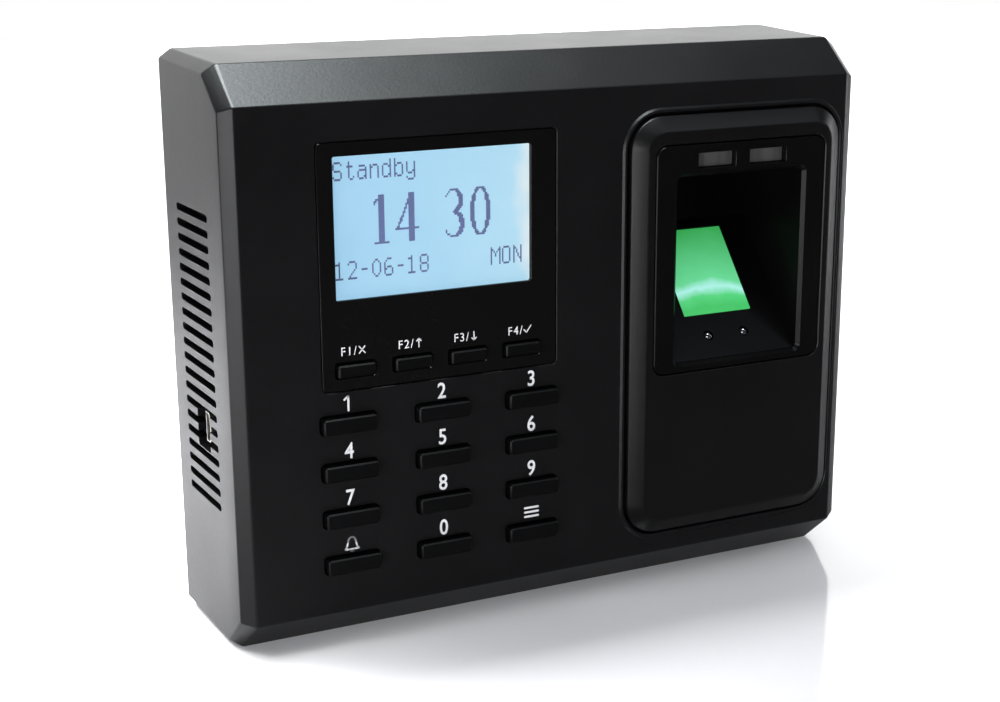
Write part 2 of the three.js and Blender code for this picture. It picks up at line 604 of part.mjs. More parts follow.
/** The glossy guide: a face plate and the deep bay that leads the finger to the sensor. */
function fingerGuide() {
  const flangeFar = GUIDE_FLANGE.far;
  const flangeNear = BEZEL_FACE + BEZEL_SKIN + GAP;
  const face = steppedPlate(
    GUIDE, cutCorners([[0, flangeFar], [0, BEZEL_FACE], [1, BEZEL_FACE]], HOLE_EDGE));
  const flange = plate(roundedRectangle(GUIDE, GUIDE_FLANGE.past), flangeNear, flangeFar);
  const bay = grown(BAY, -BAY.chamfer);
  const tub = plate(roundedRectangle(bay, BAY_WALL), flangeFar - 1, BAY_BACK + BAY_WALL)
    .intersect(bayRegion(BAY_WALL));
  const pocket = plate(roundedRectangle(bay), BEZEL_FACE - PAST, BAY_BACK).intersect(bayRegion(0));
  const mouth = edgeCutter(bay, BAY.chamfer, BEZEL_FACE);
  const windowHole = sensorBlock(SENSOR.width + 2 * GAP, SENSOR.start - GAP,
    SENSOR.start + SENSOR.length + GAP, -2 * BAY_WALL, PAST);
  const pipes = [-1, 1].map((side) => join(
    plate(roundedRectangle(indicatorOutline(side), 0, 2), BEZEL_FACE - PAST, flangeFar + PAST),
    edgeCutter(indicatorOutline(side), HOLE_EDGE / 2, BEZEL_FACE, 2)));
  const eyes = proximityPlaces().map(([x, along]) => (
    rampRod(x, along, EYE_HOLE, -2 * BAY_WALL, PAST)));
  return cut(join(face, flange, tub), pocket, mouth, windowHole, ...pipes, ...eyes);
}

const readerCentre = (GUIDE.left + GUIDE.right) / 2;

/** A geometry in the ramp's own frame, where `along` runs up the ramp and `out` points at the finger. */
function rampFrame(geometry) {
  geometry.rotateX(RAMP_ANGLE);
  geometry.translate(readerCentre, RAMP_FOOT.y, RAMP_FOOT.z);
  return solidFrom(geometry);
}

/** A block on the ramp, centred across the bay. */
function sensorBlock(width, alongLow, alongHigh, outLow, outHigh) {
  const geometry = new THREE.BoxGeometry(width, alongHigh - alongLow, outHigh - outLow);
  geometry.translate(0, (alongLow + alongHigh) / 2, (outLow + outHigh) / 2);
  return rampFrame(geometry);
}

/** Two small infrared eyes below the sensor window that notice a finger, as [x, along]. */
function proximityPlaces() {
  return [[-5.65, 6.6], [5.65, 6.6]];
}

/** A round rod that stands square on the ramp. */
function rampRod(x, along, radius, outLow, outHigh) {
  const geometry = new THREE.CylinderGeometry(radius, radius, outHigh - outLow, 12);
  geometry.rotateX(Math.PI / 2);
  geometry.translate(x, along, (outLow + outHigh) / 2);
  return rampFrame(geometry);
}

const LENS = { radius: 1.2, length: 3.6, sunk: 0.5 };

/** A domed lens: a short rod whose front end is a ball. */
function proximityLens([x, along]) {
  const { radius, length, sunk } = LENS;
  const dome = new THREE.SphereGeometry(radius, 12, 6);
  dome.translate(x, along, -sunk);
  return join(rampRod(x, along, radius, -length, -sunk), rampFrame(dome));
}

const PRISM_DEPTH = 8;
const PRISM_SUNK = 0.15; // how far the prism's face lies under the ramp
const LIGHT_PATH = { width: 14, inset: 4 };
const HOUSING = { halfWidth: 14.5, start: 10.2, end: 42, near: -2.1, far: -14 };

/** The glass block that the fingertip rests on. */
function sensorPrism() {
  return sensorBlock(SENSOR.width, SENSOR.start, SENSOR.start + SENSOR.length, -PRISM_DEPTH, -PRISM_SUNK);
}

/** The reader's dark box behind the prism, with a way for the light to the sensor chip. */
function sensorHousing() {
  const { halfWidth: half, start, end, near, far } = HOUSING;
  const outside = sensorBlock(2 * half, start, end, far, near);
  const seat = sensorBlock(SENSOR.width + 2 * GAP, SENSOR.start - GAP, SENSOR.start + SENSOR.length + GAP,
    -PRISM_DEPTH - GAP, near + PAST);
  const lightPath = sensorBlock(LIGHT_PATH.width, SENSOR.start + LIGHT_PATH.inset,
    SENSOR.start + SENSOR.length - LIGHT_PATH.inset, far - PAST, -PRISM_DEPTH);
  return cut(outside, seat, lightPath);
}

function sensorBoard() {
  const { halfWidth: half, start, end, far } = HOUSING;
  return sensorBlock(2 * half - 1, start, end, far - GAP - BOARD_THICK, far - GAP);
}

function indicatorOutline(side) {
  return sides(readerCentre + side * INDICATOR.spread, INDICATOR.z, INDICATOR.width, INDICATOR.height, 0.3);
}

/** A light pipe that carries an indicator lamp's light from its board to the guide's face. */
function indicatorPipe(side) {
  const near = BEZEL_FACE + INDICATOR.recess;
  const far = INDICATOR_BOARD.y - GAP;
  return plate(roundedRectangle(indicatorOutline(side), -0.2, 2), near, far);
}

// ---------------------------------------------------------------- electronics on the main board

const REAR = MAIN_BOARD.y + BOARD_THICK + GAP; // where pieces on the board's rear face begin

function mainBoard() {
  const holes = BOARD_SCREWS.map(([x, z]) => (
    rodAlongY(x, z, POST.hole, MAIN_BOARD.y - PAST, MAIN_BOARD.y + 2 * BOARD_THICK)));
  return cut(board(MAIN_BOARD), ...holes);
}

const PROCESSOR = { left: -27, right: -13, low: 78, high: 92, height: 1.4 };
const LOCK_RELAY = { left: -4, right: 15, low: 58, high: 73, height: 15 };
const HEADER = { left: -50, right: -20, low: 66, high: 71 };

/** A plain block on the main board's rear face. */
function onMainBoard({ left, right, low, high, height }) {
  return block(left, right, REAR, REAR + height, low, high);
}

/** The connector between the keypad board and the main board. */
function boardHeader() {
  const near = KEYPAD_BOARD.y + BOARD_THICK + GAP;
  return block(HEADER.left, HEADER.right, near, MAIN_BOARD.y - GAP, HEADER.low, HEADER.high);
}

const USB = { mouth: -88.3, length: 9.2, thick: 3.9, height: 7.7, z: 54.9, shell: 0.4 };

/** A small USB socket: a thin metal shell with narrowing sides and a tongue inside. */
function usbSocket() {
  const near = REAR;
  const far = near + USB.thick;
  const [low, high] = [USB.z - USB.height / 2, USB.z + USB.height / 2];
  const end = USB.mouth + USB.length;
  const outline = new THREE.Shape([
    new THREE.Vector2(near, low + 0.9),
    new THREE.Vector2(near + 1.4, low),
    new THREE.Vector2(far, low),
    new THREE.Vector2(far, high),
    new THREE.Vector2(near + 1.4, high),
    new THREE.Vector2(near, high - 0.9),
  ]);
  const middle = near + USB.thick / 2;
  const inner = new THREE.Shape(outline.getPoints().slice(0, 6).map((point) => new THREE.Vector2(
    middle + (point.x - middle) * (1 - 2 * USB.shell / USB.thick),
    USB.z + (point.y - USB.z) * (1 - 2 * USB.shell / USB.height))));
  const tongue = block(USB.mouth + 1.5, end - 0.5, middle - 0.5, middle + 0.5, low + 1.6, high - 1.6);
  return join(cut(bar(outline, USB.mouth, end), bar(inner, USB.mouth - PAST, end - 1)), tongue);
}

const NETWORK = { left: -66, right: -50, low: 28, high: 41.5, far: 40 };
const NETWORK_MOUTH = { side: 2.1, end: 3, floor: 4 };
const NETWORK_LATCH = { side: 5, top: 1.2, floor: 8 };

/** A network socket that opens towards the wall, with a notch for the plug's latch. */
function networkSocket() {
  const { left, right, low, high, far } = NETWORK;
  const mouth = block(left + NETWORK_MOUTH.side, right - NETWORK_MOUTH.side,
    REAR + NETWORK_MOUTH.floor, far + PAST, low + NETWORK_MOUTH.end, high - NETWORK_MOUTH.end);
  const latch = block(left + NETWORK_LATCH.side, right - NETWORK_LATCH.side,
    REAR + NETWORK_LATCH.floor, far + PAST, high - 2 * NETWORK_MOUTH.end, high - NETWORK_LATCH.top);
  return cut(block(left, right, REAR, far, low, high), mouth, latch);
}

const TERMINAL = { left: -42, low: 30, high: 40, far: 33.6, pitch: 5.08, count: 8 };
const WELL = { width: 3.6, height: 3.4, inset: 1, wireDepth: 5, screwDepth: 2.4 };

/** A row of screw terminals that opens towards the wall: a wire well and a screw well for each. */
function terminalBlock() {
  const { left, low, high, far, pitch, count } = TERMINAL;
  const body = block(left, left + pitch * count, REAR, far, low, high);
  const wells = Array.from({ length: count }, (_, index) => {
    const x = left + pitch * (index + 0.5);
    const [x0, x1] = [x - WELL.width / 2, x + WELL.width / 2];
    return join(
      block(x0, x1, far - WELL.wireDepth, far + PAST, low + WELL.inset, low + WELL.inset + WELL.height),
      block(x0, x1, far - WELL.screwDepth, far + PAST, high - WELL.inset - WELL.height, high - WELL.inset));
  });
  return cut(body, ...wells);
}

const JACK = { x: 10, z: 35, far: 34, width: 9, height: 11, pin: 1.1, bore: 3.1, depth: 9 };

/** A round power jack with a centre pin, in a block that opens towards the wall. */
function powerJack() {
  const { x, z, far, width, height, pin, bore, depth } = JACK;
  const body = block(x - width / 2, x + width / 2, REAR, far, z - height / 2, z + height / 2);
  const well = turnedAlongY(
    [[pin, far - depth], [bore, far - depth], [bore, far + PAST], [pin, far + PAST], [pin, far - depth]], x, z);
  return cut(body, well);
}

/** The speaker, held by the back cover: a frame with a dished cone and a round magnet. */
function speaker() {
  const [x, z, height] = [-60, 66, 6.2];
  const back = BACK_COVER.y - GAP;
  const front = back - height;
  return turnedAlongY([
    [0, front + 1.6],
    [5.5, front + 1.2],
    [12.5, front + 0.4],
    [13.2, front],
    [15, front],
    [15, front + 1.6],
    [8.5, front + 3],
    [8.5, back],
    [0, back],
  ], x, z);
}

/** A round buzzer with a sound hole in its rear face. */
function buzzer() {
  const [x, z, radius, hole, height, holeDepth] = [-30, 118, 6, 1.2, 8, 2];
  const far = REAR + height;
  return turnedAlongY([[0, REAR], [radius, REAR], [radius, far], [hole, far],
    [hole, far - holeDepth], [0, far - holeDepth]], x, z);
}

const BATTERY = { x: -60, z: 112, radius: 10, thick: 3.2, holderFloor: 0.9, holderWall: 1.6, notch: 8 };

/** The round holder of the clock battery, with a notch at the top to push the battery out. */
function batteryHolder() {
  const { x, z, radius, thick, holderFloor, holderWall, notch } = BATTERY;
  const inner = radius + GAP;
  const outer = inner + holderWall;
  const [floor, far] = [REAR + holderFloor, REAR + holderFloor + GAP + thick];
  const ring = turnedAlongY(
    [[0, REAR], [outer, REAR], [outer, far], [inner, far], [inner, floor], [0, floor]], x, z);
  return cut(ring, block(x - notch / 2, x + notch / 2, floor, far + PAST, z, z + 2 * radius));
}

/** A coin cell: its narrower face lies on the holder's floor. */
function clockBattery() {
  const { x, z, radius, thick, holderFloor } = BATTERY;
  const near = REAR + holderFloor + GAP;
  const narrow = radius - 1.2;
  return turnedAlongY([[0, near], [narrow, near], [narrow + 0.4, near + 0.6], [radius, near + 0.9],
    [radius, near + thick], [0, near + thick]], x, z);
}

/** The flat cable from the sensor board to the main board, bent once in a soft S. */
function sensorRibbon() {
  const path = new THREE.CatmullRomCurve3([
    new THREE.Vector3(20, REAR + 0.6, 76),
    new THREE.Vector3(24, REAR + 2.2, 76),
    new THREE.Vector3(27, REAR + 7, 76),
    new THREE.Vector3(31, REAR + 9.5, 76),
    new THREE.Vector3(35, REAR + 9.8, 76),
  ]);
  const section = new THREE.Shape([
    new THREE.Vector2(-5, -0.25),
    new THREE.Vector2(5, -0.25),
    new THREE.Vector2(5, 0.25),
    new THREE.Vector2(-5, 0.25),
  ]);
  return solidFrom(new THREE.ExtrudeGeometry(section, { steps: 12, bevelEnabled: false, extrudePath: path }));
}

// ---------------------------------------------------------------- assembly

addPart("front_cover", frontCover(), FINISH.case);
addPart("back_cover", backCover(), FINISH.backCover);
addPart("wall_plate", wallPlate(), FINISH.steel);
addPart("wall_plate_screw", lockScrew(), FINISH.steel);

COVER_SCREWS.forEach(([x, z], index) => {
  const seat = BACK_COVER.y + BACK_COVER.thick - COVER_COUNTERBORE + SCREW_SEAT_GAP;
  addPart(`cover_screw_${index + 1}`, screwAlongY(x, z, COVER_SCREW, seat), FINISH.steel);
});

addPart("display_surround", displaySurround(), FINISH.glossBlack);
addPart("display_window", displayWindow(), FINISH.window);
addPart("lcd_frame", lcdFrame(), FINISH.steel);
addPart("lcd_glass", lcdSlab(LCD_LAYERS.glass, LCD_LAYERS.light - GAP, LCD.width, LCD.height), FINISH.lcd);
addPart("lcd_backlight", lcdSlab(LCD_LAYERS.light, LCD_LAYERS.end, LCD.width, LCD.height), FINISH.diffuser);
addPart("lcd_board", board(LCD_BOARD), FINISH.board);

keyPlaces().forEach((place) => addPart(place.name, keySolid(place), FINISH.key));
addPart("keypad_mat", keypadMat(), FINISH.rubber);
addPart("keypad_board", board(KEYPAD_BOARD), FINISH.board);

addPart("scanner_bezel", scannerBezel(), FINISH.bezel);
addPart("finger_guide", fingerGuide(), FINISH.glossBlack);
addPart("sensor_prism", sensorPrism(), FINISH.prism);
addPart("sensor_housing", sensorHousing(), FINISH.housing);
addPart("sensor_board", sensorBoard(), FINISH.board);
proximityPlaces().forEach((place, index) => {
  addPart(["proximity_lens_left", "proximity_lens_right"][index], proximityLens(place), FINISH.housing);
});
addPart("indicator_left", indicatorPipe(-1), FINISH.lightPipe);
addPart("indicator_right", indicatorPipe(1), FINISH.lightPipe);
addPart("indicator_board", board(INDICATOR_BOARD), FINISH.board);

addPart("main_board", mainBoard(), FINISH.board);
BOARD_SCREWS.forEach(([x, z], index) => {
  addPart(`board_screw_${index + 1}`, screwAlongY(x, z, BOARD_SCREW, REAR), FINISH.steel);
});
addPart("board_header", boardHeader(), FINISH.chip);
addPart("usb_socket", usbSocket(), FINISH.socket);
addPart("network_socket", networkSocket(), FINISH.socket);
addPart("terminal_block", terminalBlock(), FINISH.terminal);
addPart("power_jack", powerJack(), FINISH.chip);
addPart("processor", onMainBoard(PROCESSOR), FINISH.chip);
addPart("lock_relay", onMainBoard(LOCK_RELAY), FINISH.relay);
addPart("speaker", speaker(), FINISH.housing);
addPart("buzzer", buzzer(), FINISH.chip);
addPart("clock_battery_holder", batteryHolder(), FINISH.chip);
addPart("clock_battery", clockBattery(), FINISH.steel);
addPart("sensor_ribbon", sensorRibbon(), FINISH.ribbon);

// The whole depth runs from the bezel's face to the wall plate's back.
const wholeDepthMiddle = (BEZEL_FACE + BODY_DEPTH + WALL_PLATE.proud) / 2;
object.position.y = -wholeDepthMiddle;

export default object;
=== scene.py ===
"""The looks of a fingerprint scanner terminal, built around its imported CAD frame.

Lengths that come from the CAD frame are in metres. Sizes given here are in millimetres and
are turned into metres with MM. +X is the viewer's right, +Y runs into the wall and +Z is up.
"""

import json
import math

import bmesh
import bpy
from mathutils import Matrix, Vector


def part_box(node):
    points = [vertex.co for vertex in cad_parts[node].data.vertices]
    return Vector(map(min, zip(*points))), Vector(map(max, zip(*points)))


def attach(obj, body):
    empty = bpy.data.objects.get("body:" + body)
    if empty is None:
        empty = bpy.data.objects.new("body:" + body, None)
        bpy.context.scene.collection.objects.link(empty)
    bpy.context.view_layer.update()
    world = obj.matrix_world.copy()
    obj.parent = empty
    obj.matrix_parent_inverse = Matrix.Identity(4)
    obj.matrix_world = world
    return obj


MM = 0.001

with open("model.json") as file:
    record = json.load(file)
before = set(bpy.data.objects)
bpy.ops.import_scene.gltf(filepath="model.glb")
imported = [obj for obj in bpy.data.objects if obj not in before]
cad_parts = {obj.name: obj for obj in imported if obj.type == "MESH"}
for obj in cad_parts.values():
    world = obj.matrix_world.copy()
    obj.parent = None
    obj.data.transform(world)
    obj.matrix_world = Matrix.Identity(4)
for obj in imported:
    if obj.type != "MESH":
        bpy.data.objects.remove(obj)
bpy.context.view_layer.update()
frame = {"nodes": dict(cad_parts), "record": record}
nodes = frame["nodes"]

CASE_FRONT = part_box("front_cover")[0].y + 0.5 * MM  # the front panel's face, behind the bezel's lip
PANEL_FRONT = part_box("display_surround")[0].y
LCD_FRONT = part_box("lcd_glass")[0].y

KEYS = {
    "key_1": "1", "key_2": "2", "key_3": "3",
    "key_4": "4", "key_5": "5", "key_6": "6",
    "key_7": "7", "key_8": "8", "key_9": "9",
    "key_0": "0",
}
FUNCTION_KEYS = {"key_cancel": "F1/", "key_up": "F2/", "key_down": "F3/", "key_confirm": "F4/"}


# ------------------------------------------------------------------ materials

class Recipe:
    """A Principled material and short calls for the nodes that the recipes share."""

    def __init__(self, name, **sockets):
        self.material = bpy.data.materials.new(name)
        self.material.use_nodes = True
        self.tree = self.material.node_tree
        self.shader = self.tree.nodes["Principled BSDF"]
        coordinates = self.tree.nodes.new("ShaderNodeTexCoord")
        self.place = coordinates.outputs["Object"]
        for socket, value in sockets.items():
            self.shader.inputs[socket.replace("_", " ")].default_value = value

    def node(self, kind, **settings):
        made = self.tree.nodes.new(kind)
        for name, value in settings.items():
            setattr(made, name, value)
        return made

    def link(self, output, target):
        self.tree.links.new(output, target)

    def into(self, socket, output):
        self.link(output, self.shader.inputs[socket])

    def stretched(self, x, y, z):
        """Object coordinates stretched along each axis."""
        mapping = self.node("ShaderNodeMapping")
        mapping.inputs["Scale"].default_value = (x, y, z)
        self.link(self.place, mapping.inputs["Vector"])
        return mapping.outputs["Vector"]

    def noise(self, scale, detail=3.0, roughness=0.5, vector=None):
        texture = self.node("ShaderNodeTexNoise")
        texture.inputs["Scale"].default_value = scale
        texture.inputs["Detail"].default_value = detail
        texture.inputs["Roughness"].default_value = roughness
        self.link(vector or self.place, texture.inputs["Vector"])
        return texture.outputs["Fac"]

    def cells(self, scale, feature="F1"):
        texture = self.node("ShaderNodeTexVoronoi", feature=feature)
        texture.inputs["Scale"].default_value = scale
        self.link(self.place, texture.inputs["Vector"])
        return texture.outputs["Distance"]

    def spread(self, value, low, high, from_low=0.3, from_high=0.7):
        """A value moved from one range to another."""
        mapped = self.node("ShaderNodeMapRange")
        for socket, number in (("From Min", from_low), ("From Max", from_high),
                               ("To Min", low), ("To Max", high)):
            mapped.inputs[socket].default_value = number
        self.link(value, mapped.inputs["Value"])
        return mapped.outputs["Result"]

    def colours(self, value, *stops):
        """A colour ramp: each stop is a place from 0 to 1 and a colour."""
        ramp = self.node("ShaderNodeValToRGB")
        points = ramp.color_ramp.elements
        while len(points) < len(stops):
            points.new(0.5)
        for point, (position, colour) in zip(points, stops):
            point.position = position
            point.color = (*colour, 1)
        self.link(value, ramp.inputs["Fac"])
        return ramp.outputs["Color"]

    def along(self, axis):
        """The object's own x, y or z in metres."""
        parts = self.node("ShaderNodeSeparateXYZ")
        self.link(self.place, parts.inputs["Vector"])
        return parts.outputs[axis.upper()]

    def combined(self, first, second, operation="ADD"):
        """Two values added, or put together by another operation; either may be a plain number."""
        made = self.node("ShaderNodeMath", operation=operation)
        for socket, value in zip(made.inputs, (first, second)):
            if isinstance(value, (int, float)):
                socket.default_value = value
            else:
                self.link(value, socket)
        return made.outputs["Value"]

    def bump(self, height, depth, strength=1.0):
        """Relief on the surface; each further call lies on top of the last."""
        made = self.node("ShaderNodeBump")
        made.inputs["Strength"].default_value = strength
        made.inputs["Distance"].default_value = depth
        self.link(height, made.inputs["Height"])
        before = self.shader.inputs["Normal"].links
        if before:
            self.link(before[0].from_socket, made.inputs["Normal"])
        self.into("Normal", made.outputs["Normal"])


def scaled(colour, factor):
    return tuple(channel * factor for channel in colour)


def moulded_plastic(name, colour, roughness, grain=2600, depth=0.020 * MM, shine=0.5):
    """Matte moulded plastic: a fine spark-eroded grain and an uneven sheen."""
    recipe = Recipe(name, IOR=1.45, Specular_IOR_Level=shine)
    cloud = recipe.noise(45, detail=4)
    speck = recipe.noise(grain * 0.6, detail=2)
    half_cloud = recipe.combined(cloud, 0.5, "MULTIPLY")
    half_speck = recipe.combined(speck, 0.5, "MULTIPLY")
    mottled = recipe.combined(half_cloud, half_speck)
    base = recipe.colours(mottled, (0.35, scaled(colour, 0.72)), (0.65, scaled(colour, 1.3)))
    recipe.into("Base Color", base)
    recipe.into("Roughness", recipe.spread(cloud, roughness - 0.04, roughness + 0.05, 0.0, 1.0))
    recipe.bump(recipe.noise(grain, detail=2, roughness=0.6), depth)
    recipe.bump(recipe.cells(grain * 0.42), depth * 0.6)
    return recipe.material


def gloss_plastic(name, colour, roughness, shine=0.5, streak=True):
    """Polished plastic: near mirror-smooth, with faint wiping marks and a soft waviness."""
    recipe = Recipe(name, IOR=1.5, Specular_IOR_Level=shine)
    smear = recipe.noise(38, detail=6, roughness=0.65)
    base = recipe.colours(smear, (0.3, scaled(colour, 0.85)), (0.75, scaled(colour, 1.25)))
    recipe.into("Base Color", base)
    recipe.into("Roughness", recipe.spread(smear, roughness * 0.7, roughness * 1.5))
    recipe.bump(recipe.noise(16, detail=1), 0.03 * MM, 0.5)
    if streak:
        hairline = recipe.noise(900, detail=2, vector=recipe.stretched(1.0, 1.0, 0.06))
        recipe.bump(recipe.spread(hairline, 0, 1, 0.62, 0.72), 0.0006 * MM)
    return recipe.material


def rubber(name, colour):
    recipe = Recipe(name, IOR=1.42)
    dust = recipe.noise(900, detail=5, roughness=0.7)
    recipe.into("Base Color", recipe.colours(dust, (0.35, colour), (0.8, scaled(colour, 1.9))))
    recipe.into("Roughness", recipe.spread(dust, 0.62, 0.85))
    recipe.bump(recipe.noise(1800, detail=3), 0.02 * MM)
    return recipe.material


def sheet_metal(name, colour, roughness, direction=(1.0, 1.0, 14.0), depth=0.004 * MM):
    """Rolled and plated sheet: fine rolling lines, soft clouds of zinc and a few dull spots."""
    recipe = Recipe(name, Metallic=1.0)
    lines = recipe.noise(420, detail=4, roughness=0.7, vector=recipe.stretched(*direction))
    cloud = recipe.cells(95, "SMOOTH_F1")
    part_lines = recipe.combined(lines, 0.6, "MULTIPLY")
    part_cloud = recipe.combined(cloud, 0.6, "MULTIPLY")
    tone = recipe.combined(part_lines, part_cloud)
    base = recipe.colours(tone, (0.3, scaled(colour, 0.72)), (0.75, scaled(colour, 1.12)))
    recipe.into("Base Color", base)
    recipe.into("Roughness", recipe.spread(tone, roughness - 0.05, roughness + 0.08, 0.2, 0.9))
    recipe.bump(lines, depth)
    return recipe.material


def circuit_board(name):
    """Solder mask over copper: a darker base with lighter tracks and a woven glass relief."""
    recipe = Recipe(name, IOR=1.5)
    tracks = recipe.node("ShaderNodeTexBrick")
    tracks.offset = 0.37
    tracks.squash = 1.7
    recipe.link(recipe.place, tracks.inputs["Vector"])
    tracks.inputs["Scale"].default_value = 160
    tracks.inputs["Mortar Size"].default_value = 0.035
    tracks.inputs["Brick Width"].default_value = 0.9
    tracks.inputs["Row Height"].default_value = 0.28
    tracks.inputs["Color1"].default_value = (0.012, 0.085, 0.035, 1)
    tracks.inputs["Color2"].default_value = (0.009, 0.070, 0.030, 1)
    tracks.inputs["Mortar"].default_value = (0.03, 0.16, 0.07, 1)
    recipe.into("Base Color", tracks.outputs["Color"])
    weave = recipe.noise(2200, detail=1)
    recipe.into("Roughness", recipe.spread(weave, 0.28, 0.42))
    recipe.bump(tracks.outputs["Fac"], 0.03 * MM)
    recipe.bump(weave, 0.004 * MM)
    return recipe.material


def clear_window(name):
    """Thin clear acrylic with faint wiping marks; it lets the display's light straight through."""
    recipe = Recipe(name, IOR=1.49, Alpha=0.05)
    smear = recipe.noise(55, detail=6, roughness=0.7)
    recipe.into("Roughness", recipe.spread(smear, 0.02, 0.10))
    base = recipe.colours(smear, (0.3, (0.20, 0.24, 0.28)), (0.8, (0.28, 0.31, 0.35)))
    recipe.into("Base Color", base)
    return recipe.material


DISPLAY_GLOW = 0.86
GRID_WIDTH = 0.784 * MM  # two display dots across
GRID_HEIGHT = 1 * MM  # two display dots up


def dot_grid(recipe):
    """The fine darker lines between the display's dots."""
    grid = recipe.node("ShaderNodeTexBrick")
    grid.offset = 0.0
    grid.inputs["Scale"].default_value = 1.0
    grid.inputs["Mortar Size"].default_value = 0.02
    grid.inputs["Brick Width"].default_value = 0.5
    grid.inputs["Row Height"].default_value = 0.5
    grid.inputs["Color1"].default_value = (1, 1, 1, 1)
    grid.inputs["Color2"].default_value = (1, 1, 1, 1)
    grid.inputs["Mortar"].default_value = (0.9, 0.93, 0.96, 1)
    turn = recipe.node("ShaderNodeMapping")
    turn.inputs["Rotation"].default_value = (math.radians(90), 0, 0)
    turn.inputs["Scale"].default_value = (1 / GRID_WIDTH, 1 / GRID_HEIGHT, 1 / GRID_HEIGHT)
    recipe.link(recipe.place, turn.inputs["Vector"])
    recipe.link(turn.outputs["Vector"], grid.inputs["Vector"])
    return grid.outputs["Color"]


def lit_display(name):
    """The liquid crystal's lit face: pale blue, whiter towards its lamp edge, with a fine dot grid."""
    low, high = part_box("lcd_glass")
    recipe = Recipe(name, Roughness=0.35)
    across = recipe.spread(recipe.along("x"), 0, 1, low.x, high.x)
    up = recipe.spread(recipe.along("z"), 0, 1, low.z, high.z)
    cloud = recipe.noise(70, detail=2)
    blotch = recipe.spread(cloud, -0.05, 0.05)
    glow = recipe.combined(recipe.combined(across, blotch), recipe.combined(up, 0.05, "MULTIPLY"))
    light = recipe.colours(
        glow, (0.05, (0.36, 0.68, 0.93)), (0.45, (0.40, 0.73, 0.96)),
        (0.90, (0.47, 0.80, 0.98)), (0.985, (0.86, 0.97, 1.0)))
    mix = recipe.node("ShaderNodeMix", data_type="RGBA", blend_type="MULTIPLY")
    mix.inputs["Factor"].default_value = 1
    recipe.link(light, mix.inputs[6])  # the mix node's first colour
    recipe.link(dot_grid(recipe), mix.inputs[7])  # and its second
    recipe.into("Emission Color", mix.outputs[2])
    base = recipe.colours(cloud, (0.3, (0.02, 0.03, 0.04)), (0.7, (0.03, 0.04, 0.05)))
    recipe.into("Base Color", base)
    recipe.shader.inputs["Emission Strength"].default_value = DISPLAY_GLOW
    return recipe.material


PRISM_GLOW = 1.0
PRISM_FOOT = 6 * MM  # height of the darker green part under the painted highlight band


def lit_prism(name):
    """The reader's window: its own green light inside the glass, with a painted pale cyan-white
    highlight in a band near its foot.
    """
    low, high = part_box("sensor_prism")
    recipe = Recipe(name, Roughness=0.06, IOR=1.5)
    up = recipe.spread(recipe.along("z"), 0, 1, low.z + PRISM_FOOT, high.z)
    across = recipe.spread(recipe.along("x"), -1, 1, low.x, high.x)
    bow = recipe.combined(recipe.combined(across, across, "MULTIPLY"), 0.06, "MULTIPLY")
    haze = recipe.spread(recipe.noise(160, detail=3), -0.03, 0.03)
    place = recipe.combined(recipe.combined(up, bow), haze)
    # The green stops are the reader's own light; the pale cyan-white stop at 0.26 is a painted
    # highlight.
    light = recipe.colours(
        place, (0.02, (0.05, 0.50, 0.12)), (0.16, (0.09, 0.62, 0.20)), (0.26, (0.42, 0.86, 0.80)),
        (0.36, (0.14, 0.66, 0.30)), (1.0, (0.035, 0.36, 0.08)))
    recipe.into("Emission Color", light)
    recipe.shader.inputs["Emission Strength"].default_value = PRISM_GLOW
    base = recipe.colours(place, (0.0, (0.01, 0.06, 0.02)), (1.0, (0.01, 0.03, 0.01)))
    recipe.into("Base Color", base)
    return recipe.material


def frosted_pipe(name):
    """A frosted grey light pipe with fine upright lines."""
    recipe = Recipe(name, IOR=1.49)
    lines = recipe.noise(520, detail=3, vector=recipe.stretched(1.0, 1.0, 0.07))
    base = recipe.colours(lines, (0.3, (0.014, 0.013, 0.012)), (0.7, (0.034, 0.032, 0.031)))
    recipe.into("Base Color", base)
    recipe.into("Roughness", recipe.spread(lines, 0.3, 0.5))
    recipe.bump(lines, 0.02 * MM)
    return recipe.material


def ink(name, colour, glow=0.0):
    """Screen-printed ink: a slightly uneven, matte film."""
    recipe = Recipe(name)
    film = recipe.noise(1500, detail=4, roughness=0.7)
    recipe.into("Base Color", recipe.colours(film, (0.3, scaled(colour, 0.88)), (0.7, colour)))
    recipe.into("Roughness", recipe.spread(film, 0.5, 0.7))
    recipe.bump(film, 0.004 * MM)
    if glow:
        light = recipe.colours(film, (0.3, scaled(colour, 0.9)), (0.7, colour))
        recipe.into("Emission Color", light)
        recipe.shader.inputs["Emission Strength"].default_value = glow
    return recipe.material


